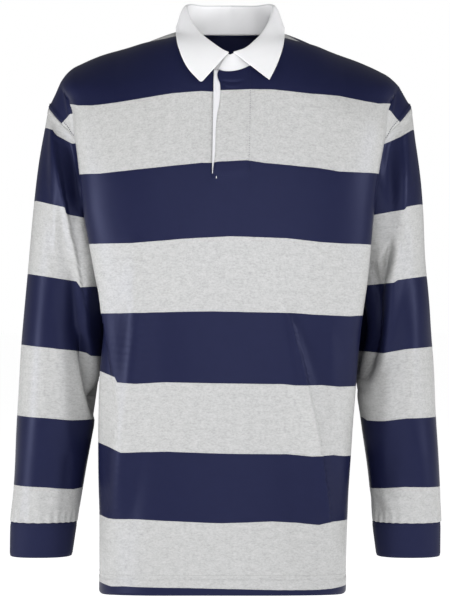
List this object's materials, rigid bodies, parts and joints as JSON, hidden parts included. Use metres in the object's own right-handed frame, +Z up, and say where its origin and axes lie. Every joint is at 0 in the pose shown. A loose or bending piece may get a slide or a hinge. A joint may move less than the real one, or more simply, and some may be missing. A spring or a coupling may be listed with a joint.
{
  "type": "rugby polo shirt",
  "caption": "Long-sleeved rugby-style polo shirt, hollow as worn, with broad two-tone stripes, a white twill collar, a hidden placket and plain cuffs.",
  "frame": {"origin": "middle of the neck base, level with the high points of the shoulders, where a wearer or a form holds the shirt up", "axes": "+Z up through the collar, -Y out of the chest, +X towards the wearer's left"},
  "size_m": [0.5782, 0.262, 0.7941],
  "materials": {
    "striped_jersey": "matte",
    "navy_cuff": "matte",
    "white_twill": "matte"
  },
  "bodies": {
    "root": {"front": "striped_jersey", "back": "striped_jersey", "sleeve_right": "striped_jersey", "sleeve_left": "striped_jersey", "cuff_right": "navy_cuff", "cuff_left": "navy_cuff", "collar_stand": "white_twill", "collar_fall": "white_twill", "placket_facing": "white_twill", "placket_under": "white_twill"}
  },
  "joints": []
}
